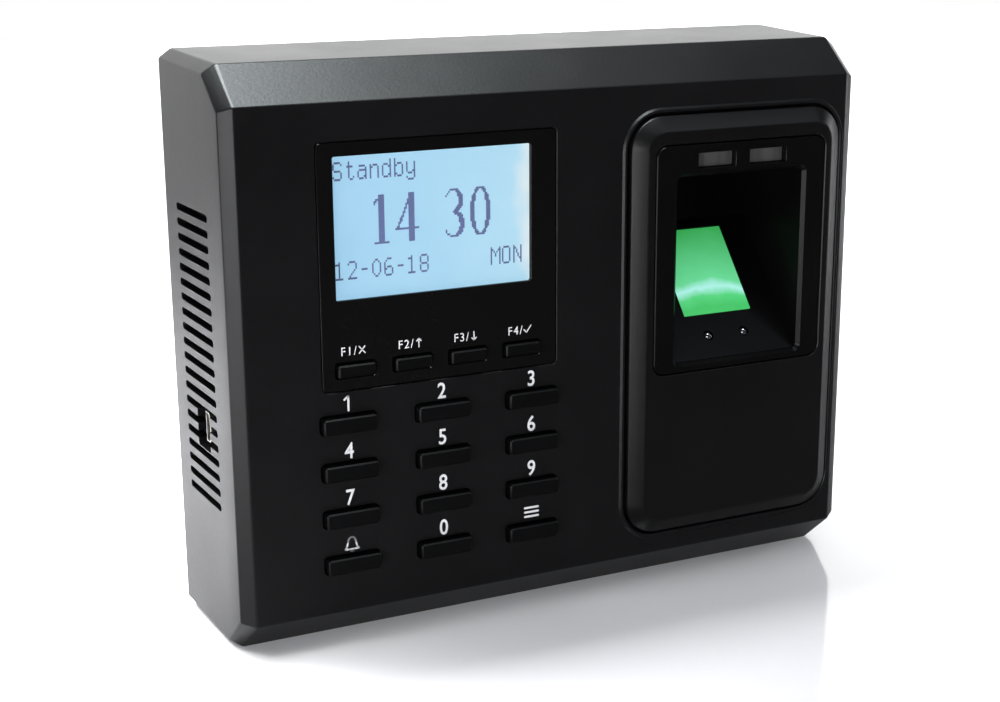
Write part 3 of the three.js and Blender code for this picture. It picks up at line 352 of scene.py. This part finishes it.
FINISHES = {
    "case_plastic": moulded_plastic("case_charcoal", (0.0020, 0.0019, 0.0021), 0.36, shine=0.075),
    "back_plastic": moulded_plastic("back_black", (0.012, 0.012, 0.013), 0.5, grain=2000),
    "gloss_black": gloss_plastic("gloss_black", (0.0014, 0.0012, 0.0012), 0.11, shine=0.05),
    "clear_window": clear_window("clear_acrylic"),
    "lcd_face": lit_display("lit_display"),
    "lcd_metal": sheet_metal("tin_plate", (0.60, 0.60, 0.61), 0.3),
    "white_diffuser": moulded_plastic("white_light_guide", (0.62, 0.66, 0.68), 0.4),
    "green_board": circuit_board("solder_mask"),
    "silicone": rubber("silicone", (0.02, 0.02, 0.021)),
    "key_plastic": moulded_plastic(
        "key_black", (0.0010, 0.0010, 0.0011), 0.33, grain=3200, depth=0.008 * MM, shine=0.04),
    "bezel_plastic": moulded_plastic(
        "bezel_slate", (0.0014, 0.0013, 0.0014), 0.33, grain=2200, depth=0.006 * MM, shine=0.07),
    "lit_prism": lit_prism("lit_prism"),
    "dark_lens": gloss_plastic("smoked_lens", (0.01, 0.008, 0.012), 0.05, streak=False),
    "light_pipe": frosted_pipe("frosted_pipe"),
    "zinc_steel": sheet_metal("zinc_steel", (0.135, 0.138, 0.146), 0.45),
    "socket_metal": sheet_metal("nickel", (0.20, 0.19, 0.17), 0.34, direction=(1, 6, 1)),
    "chip_black": moulded_plastic("epoxy_black", (0.010, 0.010, 0.011), 0.42, grain=3000),
    "terminal_green": moulded_plastic("terminal_green", (0.02, 0.19, 0.06), 0.45, grain=1800),
    "relay_blue": gloss_plastic("relay_blue", (0.012, 0.07, 0.30), 0.2),
    "ribbon": moulded_plastic("ribbon_film", (0.55, 0.48, 0.34), 0.35, grain=900),
}
GUIDE_BLACK = moulded_plastic(
    "guide_black", (0.0011, 0.0010, 0.0011), 0.30, depth=0.004 * MM, shine=0.035)
WHITE_INK = ink("white_ink", (0.44, 0.44, 0.45))
DISPLAY_DOT = ink("display_dot", (0.024, 0.036, 0.11), glow=0.8)


# ------------------------------------------------------------------ CAD nodes

def smooth_by_angle(limit):
    """A node group that shades faces smooth and keeps edges steeper than the limit sharp."""
    group = bpy.data.node_groups.new("smooth_by_angle", "GeometryNodeTree")
    group.interface.new_socket("Geometry", in_out="INPUT", socket_type="NodeSocketGeometry")
    group.interface.new_socket("Geometry", in_out="OUTPUT", socket_type="NodeSocketGeometry")
    start = group.nodes.new("NodeGroupInput")
    end = group.nodes.new("NodeGroupOutput")
    angle = group.nodes.new("GeometryNodeInputMeshEdgeAngle")
    steep = group.nodes.new("FunctionNodeCompare")
    steep.data_type = "FLOAT"
    steep.operation = "LESS_EQUAL"
    steep.inputs["B"].default_value = limit
    faces = group.nodes.new("GeometryNodeSetShadeSmooth")
    faces.domain = "FACE"
    edges = group.nodes.new("GeometryNodeSetShadeSmooth")
    edges.domain = "EDGE"
    links = group.links
    links.new(start.outputs[0], faces.inputs["Geometry"])
    links.new(faces.outputs["Geometry"], edges.inputs["Geometry"])
    links.new(angle.outputs["Unsigned Angle"], steep.inputs["A"])
    links.new(steep.outputs["Result"], edges.inputs["Shade Smooth"])
    links.new(edges.outputs["Geometry"], end.inputs[0])
    return group


SMOOTH = smooth_by_angle(math.radians(32))
WELD_DISTANCE = 0.001 * MM
BEVEL_SEGMENTS = 2
BEVEL_ANGLE = math.radians(40)  # only edges steeper than this are rounded


def shade_edges(piece, width=0):
    """Shades a faceted solid's arcs as rounds, after rounding its edges if a width is given."""
    weld = piece.modifiers.new("weld", "WELD")
    weld.merge_threshold = WELD_DISTANCE
    if width:
        bevel = piece.modifiers.new("bevel", "BEVEL")
        bevel.width = width
        bevel.segments = BEVEL_SEGMENTS
        bevel.limit_method = "ANGLE"
        bevel.angle_limit = BEVEL_ANGLE
    smooth = piece.modifiers.new("smooth", "NODES")
    smooth.node_group = SMOOTH
    weighted = piece.modifiers.new("weighted", "WEIGHTED_NORMAL")
    weighted.keep_sharp = True


EDGE_WIDTHS = {  # in millimetres, for the nodes whose edges are rounded
    "wall_plate_screw": 0.15, "board_header": 0.2, "lock_relay": 0.5, "processor": 0.12,
    "indicator_left": 0.12, "indicator_right": 0.12,
}


def finish_cad_nodes():
    slots = {row["node"]: row["material_slot"] for row in frame["record"]["subparts"]}
    for name, piece in nodes.items():
        piece.data.materials.clear()
        finish = GUIDE_BLACK if name == "finger_guide" else FINISHES[slots[name]]
        piece.data.materials.append(finish)
        shade_edges(piece, EDGE_WIDTHS.get(name, 0) * MM)


# ------------------------------------------------------------------ printed labels

def add_mesh(name, mesh, material, body="case"):
    piece = bpy.data.objects.new(name, mesh)
    bpy.context.scene.collection.objects.link(piece)
    mesh.materials.clear()
    mesh.materials.append(material)
    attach(piece, body)


INK_THICK = 0.06 * MM
TEXT_WEIGHT = 0.012  # how much bolder the strokes are than the font's own, per unit of its size
TEXT_HEIGHT = 0.73  # a capital's height as a share of the font's size
TEXT_SMOOTHNESS = 6


def text_mesh(text, height, narrow, weight, spacing):
    """Flat text made solid, `height` tall, centred on its origin and facing -Y."""
    curve = bpy.data.curves.new("text", "FONT")
    curve.body = text
    curve.size = 1
    curve.offset = weight
    curve.extrude = 0.5
    curve.space_character = spacing
    curve.resolution_u = TEXT_SMOOTHNESS
    holder = bpy.data.objects.new("text", curve)
    bpy.context.scene.collection.objects.link(holder)
    bpy.context.view_layer.update()
    mesh = bpy.data.meshes.new_from_object(holder)
    bpy.data.objects.remove(holder)
    corners = [vertex.co for vertex in mesh.vertices]
    low = Vector([min(corner[axis] for corner in corners) for axis in range(3)])
    high = Vector([max(corner[axis] for corner in corners) for axis in range(3)])
    size = height / TEXT_HEIGHT
    centre = (low + high) / 2
    mesh.transform(Matrix.Translation(-centre))
    mesh.transform(Matrix.Diagonal((size * narrow, size, INK_THICK, 1)))
    mesh.transform(Matrix.Rotation(math.radians(90), 4, "X"))
    return mesh, (high.x - low.x) * size * narrow


ONE_SHAPE = ((-0.21, 0.24), (0.03, 0.43), (0.03, -0.43))  # a figure one's line, per unit of height
ONE_STROKE = 0.125  # its thickness, per unit of height


def one_mesh(height):
    """A figure one with a flag: the built-in font draws it as a plain bar."""
    mesh = bpy.data.meshes.new("one")
    points = [(x * height, z * height) for x, z in ONE_SHAPE]
    stroke_mesh(mesh, points, ONE_STROKE * height)
    return mesh


def print_text(name, text, x, z, height, narrow=0.86, weight=TEXT_WEIGHT, front=CASE_FRONT,
               left=False, spacing=1.0):
    """Prints text centred on (x, z), or starting at x if `left` is set, and returns its width."""
    if text == "1":
        mesh, width = one_mesh(height), 0
    else:
        mesh, width = text_mesh(text, height, narrow, weight, spacing)
    shift = width / 2 if left else 0
    mesh.transform(Matrix.Translation((x + shift, front, z)))
    add_mesh(name, mesh, WHITE_INK)
    return width


END_STEPS = 4  # flat sides that make up a stroke's half-round end


def stroke_mesh(mesh, points, width, closed=False):
    """Adds one flat stroke of even width, as a chain of short blocks with round joints."""
    made = bmesh.new()
    made.from_mesh(mesh)
    following = points[1:] + points[:1] if closed else points[1:]
    ends = list(zip(points, following))
    for (x0, z0), (x1, z1) in ends:
        length = math.hypot(x1 - x0, z1 - z0)
        across = Vector((-(z1 - z0), 0, x1 - x0)) / length * width / 2
        start, end = Vector((x0, 0, z0)), Vector((x1, 0, z1))
        outline = []
        for centre, first in ((start, 90), (end, -90)):
            for step in range(END_STEPS + 1):
                turn = math.radians(first + step * 180 / END_STEPS)
                along = (end - start) / length
                outline.append(centre + along * math.cos(turn) * width / 2 + across * math.sin(turn))
        depth = Vector((0, INK_THICK / 2, 0))
        near = [made.verts.new(point - depth) for point in outline]
        far = [made.verts.new(point + depth) for point in outline]
        made.faces.new(near)
        made.faces.new(far[::-1])
        for index in range(len(outline)):
            after = (index + 1) % len(outline)
            made.faces.new((near[after], near[index], far[index], far[after]))
    bmesh.ops.recalc_face_normals(made, faces=made.faces)
    made.to_mesh(mesh)
    made.free()


def arc(cx, cz, radius_x, radius_z, start, end, steps):
    turns = [math.radians(start + (end - start) * step / steps) for step in range(steps + 1)]
    return [(cx + radius_x * math.cos(turn), cz + radius_z * math.sin(turn)) for turn in turns]


def print_icon(name, strokes, x, z, width, front=CASE_FRONT):
    mesh = bpy.data.meshes.new(name)
    for points, closed in strokes:
        scaled_points = [(px * MM, pz * MM) for px, pz in points]
        stroke_mesh(mesh, scaled_points, width, closed)
    mesh.transform(Matrix.Translation((x, front, z)))
    add_mesh(name, mesh, WHITE_INK)


# Each icon is a list of strokes: a chain of points in millimetres, and whether it is closed.
BELL_DOME = arc(0, 0.25, 1.05, 1.35, 180, 0, 10)
BELL_RIM = [(1.35, -1.0), (1.85, -1.55), (-1.85, -1.55), (-1.35, -1.0)]
BELL_CLAPPER = arc(0, -1.62, 0.55, 0.5, 180, 360, 6)
BELL = [(BELL_DOME + BELL_RIM, True), (BELL_CLAPPER, False)]
BARS = [([(-1.9, level), (1.9, level)], False) for level in (1.2, 0, -1.2)]
CROSS = [([(-0.75, -0.85), (0.75, 0.85)], False), ([(-0.75, 0.85), (0.75, -0.85)], False)]
ARROW_UP = [([(0, -1.1), (0, 1.1)], False), ([(-0.6, 0.45), (0, 1.1), (0.6, 0.45)], False)]
ARROW_DOWN = [([(px, -pz) for px, pz in points], closed) for points, closed in ARROW_UP]
TICK = [([(-0.95, -0.05), (-0.3, -0.8), (1.0, 0.95)], False)]
FUNCTION_ICONS = {
    "key_cancel": CROSS, "key_up": ARROW_UP, "key_down": ARROW_DOWN, "key_confirm": TICK,
}

DIGIT_HEIGHT = 4.15 * MM
DIGIT_RISE = 5.05 * MM  # from a key's middle up to its label's middle
FUNCTION_HEIGHT = 2.25 * MM
FUNCTION_RISE = 4.75 * MM
FUNCTION_START = 3.6 * MM  # from a key's middle back to its label's left end
FUNCTION_NARROW = 0.92
FUNCTION_WEIGHT = 0.002
FUNCTION_SPACING = 1.22
ICON_GAP = 1.4 * MM  # from a function label's right end to its icon's middle
BELL_STROKE = 0.42 * MM
MENU_STROKE = 0.55 * MM
FUNCTION_STROKE = 0.28 * MM


def key_middle(name):
    low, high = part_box(name)
    return (low + high) / 2


def print_labels():
    for key, digit in KEYS.items():
        middle = key_middle(key)
        print_text(f"label_{key}", digit, middle.x, middle.z + DIGIT_RISE, DIGIT_HEIGHT)
    bell = key_middle("key_bell")
    print_icon("label_key_bell", BELL, bell.x, bell.z + DIGIT_RISE, BELL_STROKE)
    menu = key_middle("key_menu")
    print_icon("label_key_menu", BARS, menu.x, menu.z + DIGIT_RISE, MENU_STROKE)
    for key, prefix in FUNCTION_KEYS.items():
        middle = key_middle(key)
        height = middle.z + FUNCTION_RISE
        left = middle.x - FUNCTION_START
        width = print_text(
            f"label_{key}", prefix, left, height, FUNCTION_HEIGHT, narrow=FUNCTION_NARROW,
            weight=FUNCTION_WEIGHT, front=PANEL_FRONT, left=True, spacing=FUNCTION_SPACING)
        icon_middle = left + width + ICON_GAP
        print_icon(
            f"icon_{key}", FUNCTION_ICONS[key], icon_middle, height, FUNCTION_STROKE, PANEL_FRONT)


# ------------------------------------------------------------------ display

DOT_WIDTH = 0.392 * MM
DOT_HEIGHT = 0.5 * MM
DOT_FILL = 0.98  # the share of a dot's cell that it fills
DOT_THICK = 0.03 * MM
DOT_LIFT = 0.02 * MM  # how far a dot's middle stands in front of the glass
SCREEN_LEFT = -60.5 * MM
SCREEN_TOP = 122.6 * MM

# The display's small letters, row by row: a hash is a dark dot.
SMALL_GLYPHS = {
    "S": ".####. #....# #..... #..... .####. .....# .....# #....# .####.",
    "t": "..#... ..#... .####. ..#... ..#... ..#... ..#... ..#..# ...##.",
    "a": "...... ...... .####. .....# .##### #....# #....# #...## .###.#",
    "n": "...... ...... #.###. ##...# #....# #....# #....# #....# #....#",
    "d": ".....# .....# .###.# #...## #....# #....# #....# #...## .###.#",
    "b": "#..... #..... #.###. ##...# #....# #....# #....# ##...# #.###.",
    "y": "...... ...... #....# #....# #....# #....# #...## .###.# .....# #....# .####.",
    "M": "#.....# ##...## #.#.#.# #..#..# #..#..# #.....# #.....# #.....# #.....#",
    "O": ".####. #....# #....# #....# #....# #....# #....# #....# .####.",
    "N": "#....# ##...# #.#..# #.#..# #..#.# #..#.# #...## #....# #....#",
    "-": "...... ...... ...... ...... .####.",
    "0": "..##.. .#..#. #....# #....# #....# #....# #....# .#..#. ..##..",
    "1": "..#... ###... ..#... ..#... ..#... ..#... ..#... ..#... #####.",
    "2": ".####. #....# .....# .....# ....#. ...#.. ..#... .#.... ######",
    "6": "..###. .#.... #..... #..... #.###. ##...# #....# #....# .####.",
    "8": ".####. #....# #....# #....# .####. #....# #....# #....# .####.",
}


# The clock's digits, drawn as shapes: x and z are in dots from the middle of a digit's cell.

def inside_zero(x, z):
    outer = (x / 7.0) ** 2 + (z / 12.4) ** 2
    inner = (x / 4.0) ** 2 + (z / 10.9) ** 2
    return outer <= 1 < inner


def inside_one(x, z):
    stem = abs(x) <= 1.5 and z <= 12
    foot = abs(x) <= 4.5 and z <= -11
    flag = -4.6 <= x <= -1 and 7.2 <= z - (x + 4.2) * 0.9 <= 8.9
    return z >= -12.4 and (stem or foot or flag)


def inside_four(x, z):
    stem = 1.4 <= x <= 4.5 and z <= 12.2
    bar_across = abs(x) <= 7.5 and -6.4 <= z <= -4.6
    slope = -7.2 + (z + 5.4) * 9.6 / 17.6
    diagonal = -5 <= z <= 12.2 and slope <= x <= slope + 1.6
    return z >= -12.4 and (stem or bar_across or diagonal)


def inside_three(x, z):
    def bowl(middle, width, height):
        outer = (x / width) ** 2 + ((z - middle) / height) ** 2
        inner = ((x + 1.2) / (width - 2.2)) ** 2 + ((z - middle) / (height - 1.4)) ** 2
        return outer <= 1 < inner and (x > -1.2 or abs(z) > 7.5)
    return bowl(6.2, 6.2, 6.2) or bowl(-5.6, 7.0, 6.8)


CLOCK_GLYPHS = {"0": inside_zero, "1": inside_one, "4": inside_four, "3": inside_three}
CLOCK_HALF = 13  # half a clock digit's cell, in dots
CLOCK_ROW = 19
CLOCK_DIGITS = (("1", 31), ("4", 48), ("3", 80), ("0", 98))  # each digit and its middle column
SMALL_PITCH = 8
WORD_ROW = 3
DATE_ROW = 51
WEEKDAY_COLUMN = 105


def small_dots(text, column, row):
    for index, letter in enumerate(text):
        for down, line in enumerate(SMALL_GLYPHS.get(letter, "").split()):
            for across, mark in enumerate(line):
                if mark == "#":
                    yield column + index * SMALL_PITCH + across, row + down


def clock_dots(digit, centre, row):
    for down in range(2 * CLOCK_HALF):
        for across in range(-CLOCK_HALF, CLOCK_HALF):
            if CLOCK_GLYPHS[digit](across + 0.5, CLOCK_HALF - down - 0.5):
                yield centre + across, row + down


def show_display():
    dots = set(small_dots("Standby", 0, WORD_ROW))
    dots.update(small_dots("12-06-18", 0, DATE_ROW))
    dots.update(small_dots("MON", WEEKDAY_COLUMN, DATE_ROW))
    for digit, centre in CLOCK_DIGITS:
        dots.update(clock_dots(digit, centre, CLOCK_ROW))
    size = Matrix.Diagonal((DOT_WIDTH * DOT_FILL, DOT_THICK, DOT_HEIGHT * DOT_FILL, 1))
    made = bmesh.new()
    for column, row in sorted(dots):
        x = SCREEN_LEFT + (column + 0.5) * DOT_WIDTH
        z = SCREEN_TOP - (row + 0.5) * DOT_HEIGHT
        place = Matrix.Translation((x, LCD_FRONT - DOT_LIFT, z))
        bmesh.ops.create_cube(made, size=1, matrix=place @ size)
    mesh = bpy.data.meshes.new("display_characters")
    made.to_mesh(mesh)
    made.free()
    add_mesh("display_characters", mesh, DISPLAY_DOT)


# ------------------------------------------------------------------ stage, light and camera

def stage_material(name, colour, roughness):
    recipe = Recipe(name, IOR=1.45)
    cloud = recipe.noise(6, detail=2)
    recipe.into("Base Color", recipe.colours(cloud, (0.3, scaled(colour, 0.985)), (0.7, colour)))
    recipe.into("Roughness", recipe.spread(cloud, roughness * 0.9, roughness * 1.1))
    return recipe.material


FLOOR_SIZE = 4.4
FLOOR_COLOUR = (0.86, 0.86, 0.87)
FLOOR_ROUGHNESS = 0.09


def make_stage():
    bpy.ops.mesh.primitive_plane_add(size=FLOOR_SIZE, location=(0, 0, 0))
    floor = bpy.context.object
    floor.name = "floor"
    floor.data.materials.append(stage_material("pale_floor", FLOOR_COLOUR, FLOOR_ROUGHNESS))


def softbox(name, place, target, width, height, power, colour=(1, 1, 1)):
    """A rectangular lamp at a place in metres, turned to its target."""
    light = bpy.data.lights.new(name, "AREA")
    light.shape = "RECTANGLE"
    light.size = width
    light.size_y = height
    light.energy = power
    light.color = colour
    holder = bpy.data.objects.new(name, light)
    bpy.context.scene.collection.objects.link(holder)
    holder.location = place
    aim = Vector(target) - Vector(place)
    holder.rotation_euler = aim.to_track_quat("-Z", "Y").to_euler()
    return holder


ROOM_COLOUR = (0.90, 0.94, 1.0, 1)
ROOM_STRENGTH = 0.18


def light_world():
    """A dim studio whose backdrop is white wherever the camera sees past the floor."""
    world = bpy.data.worlds.new("studio")
    bpy.context.scene.world = world
    world.use_nodes = True
    tree = world.node_tree
    room = tree.nodes["Background"]
    room.inputs["Color"].default_value = ROOM_COLOUR
    room.inputs["Strength"].default_value = ROOM_STRENGTH
    backdrop = tree.nodes.new("ShaderNodeBackground")
    backdrop.inputs["Color"].default_value = (1, 1, 1, 1)
    path = tree.nodes.new("ShaderNodeLightPath")
    mix = tree.nodes.new("ShaderNodeMixShader")
    tree.links.new(path.outputs["Is Camera Ray"], mix.inputs["Fac"])
    tree.links.new(room.outputs["Background"], mix.inputs[1])
    tree.links.new(backdrop.outputs["Background"], mix.inputs[2])
    tree.links.new(mix.outputs["Shader"], tree.nodes["World Output"].inputs["Surface"])


POOL_HEIGHT = 0.5
POOL_SPREAD = math.radians(70)


def floor_pool(name, x, y, size, power, colour=(1, 1, 1)):
    """Light that falls on one part of the floor and isn't itself mirrored."""
    pool = softbox(name, (x, y, POOL_HEIGHT), (x, y, 0), size, size, power, colour)
    pool.data.spread = POOL_SPREAD
    pool.visible_glossy = False


def light_scene():
    light_world()
    softbox("back_panel", place=(0, 2.4, 0.8), target=(0, 0, 0.15), width=9.0, height=1.7, power=135)
    overhead = softbox(
        "overhead", place=(0, 0, 2.2), target=(0, 0, 0), width=3.5, height=3.5, power=20)
    overhead.visible_glossy = False
    floor_pool("back_left_pool", x=-0.20, y=0.20, size=0.32, power=4.2, colour=(0.97, 0.97, 1.0))
    floor_pool("left_pool", x=-0.46, y=-0.10, size=0.24, power=9)
    floor_pool("right_pool", x=0.7, y=0.4, size=0.6, power=5)
    top = softbox(
        "top_panel", place=(-0.12, 0.0, 1.3), target=(-0.12, 0, 0.1), width=0.7, height=0.9,
        power=230, colour=(0.90, 0.98, 1.0))
    top.visible_diffuse = False
    front = softbox(
        "front_panel", place=(0.75, -1.0, 1.15), target=(0.05, 0, 0.07), width=0.7, height=0.5,
        power=7, colour=(0.80, 0.90, 1.0))
    front.visible_diffuse = False
    softbox(
        "right_strip", place=(1.0, -0.15, 0.16), target=(0, 0, 0.07), width=0.35, height=0.5,
        power=8, colour=(0.97, 0.96, 1.0))
    softbox(
        "left_strip", place=(-0.9, -0.75, 0.12), target=(0, 0, 0.07), width=0.7, height=0.3,
        power=27, colour=(0.97, 0.98, 1.0))
    bpy.context.scene.view_settings.view_transform = "Standard"


CAMERA = {  # place, lens and sensor in millimetres, and angles in degrees
    "place": (-197.04, -387.95, 177.29),
    "azimuth": -25.894,
    "elevation": 14.566,
    "roll": -0.370,
    "lens": 60.47,
    "sensor": 36,
}
CLIP_START = 0.01


def add_camera():
    azimuth = math.radians(CAMERA["azimuth"])
    elevation = math.radians(CAMERA["elevation"])
    roll = math.radians(CAMERA["roll"])
    back = Vector((
        math.sin(azimuth) * math.cos(elevation),
        -math.cos(azimuth) * math.cos(elevation),
        math.sin(elevation)))
    right = (-back).cross(Vector((0, 0, 1))).normalized()
    up = back.cross(right)
    turned_right = right * math.cos(roll) + up * math.sin(roll)
    turned_up = up * math.cos(roll) - right * math.sin(roll)
    data = bpy.data.cameras.new("camera")
    data.lens = CAMERA["lens"]
    data.sensor_width = CAMERA["sensor"]
    data.clip_start = CLIP_START
    camera = bpy.data.objects.new("camera", data)
    bpy.context.scene.collection.objects.link(camera)
    turn = Matrix((turned_right, turned_up, back)).transposed().to_4x4()
    camera.matrix_world = Matrix.Translation(Vector(CAMERA["place"]) * MM) @ turn
    bpy.context.scene.camera = camera


add_camera()
finish_cad_nodes()
print_labels()
show_display()
make_stage()
light_scene()
